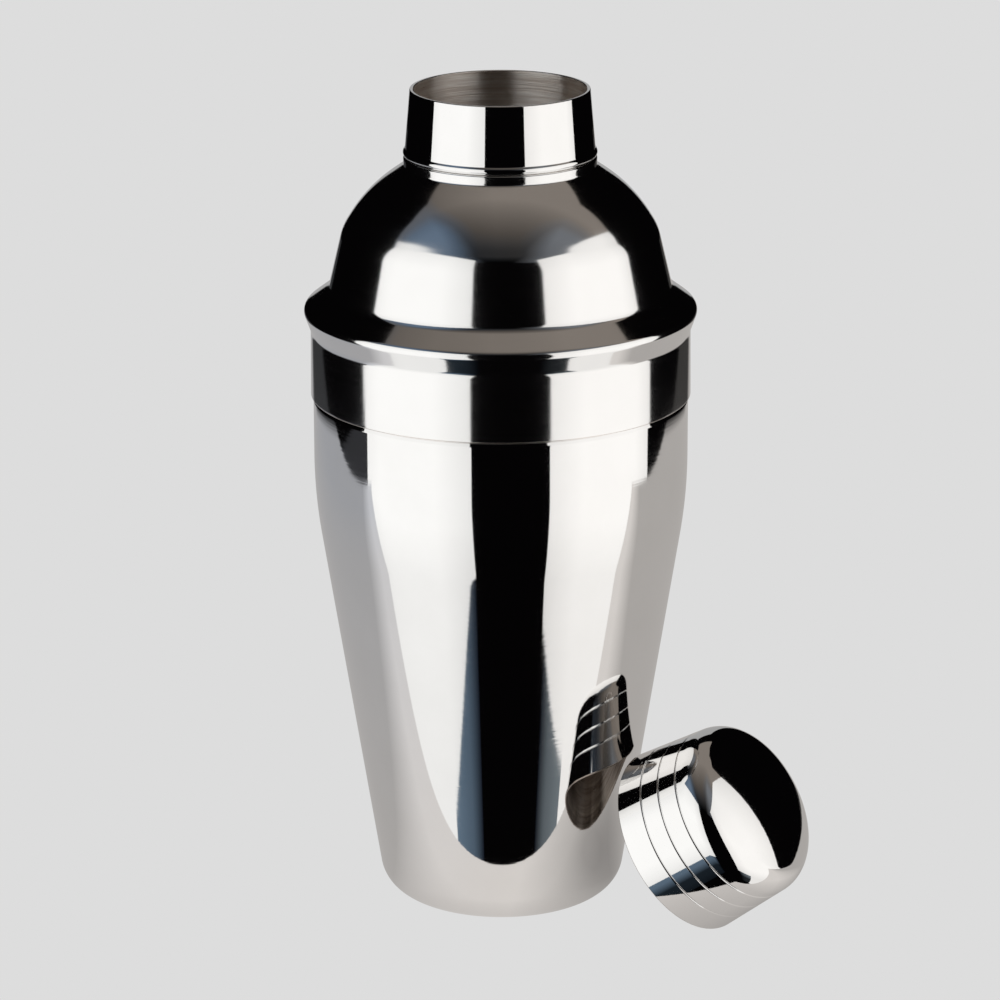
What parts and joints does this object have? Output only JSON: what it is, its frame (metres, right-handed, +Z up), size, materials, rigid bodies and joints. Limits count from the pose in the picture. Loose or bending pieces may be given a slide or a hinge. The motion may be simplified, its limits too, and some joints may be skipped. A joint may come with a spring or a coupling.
{
  "type": "cocktail shaker set",
  "caption": "Conical drinks shaker with a domed shoulder, a strainer neck and a lift-off top, and its small domed cap lying beside it.",
  "frame": {"origin": "centre of the cup's foot, on the surface that it stands on", "axes": "+Z up along the shaker's axis, +X towards the side where the cap lies"},
  "size_m": [0.1144, 0.0906, 0.1894],
  "materials": {
    "polished_steel": "mirror-polished stainless steel outside, fine turned satin inside",
    "satin_steel": "satin stainless sheet"
  },
  "bodies": {
    "cup": {"cup": "polished_steel"},
    "top": {"shoulder": "polished_steel", "neck_collar": "polished_steel", "strainer_plate": "satin_steel"},
    "cap": {"cap": "polished_steel"}
  },
  "joints": [
    {"name": "top_lift", "type": "slide", "parent": "cup", "child": "top", "axis": [0, 0, 1], "range_m": [0, 0.045]},
    {"name": "cap_pull", "type": "slide", "parent": "cup", "child": "cap", "axis": [0.7143, -0.4235, 0.5572], "range_m": [0, 0.06]}
  ]
}
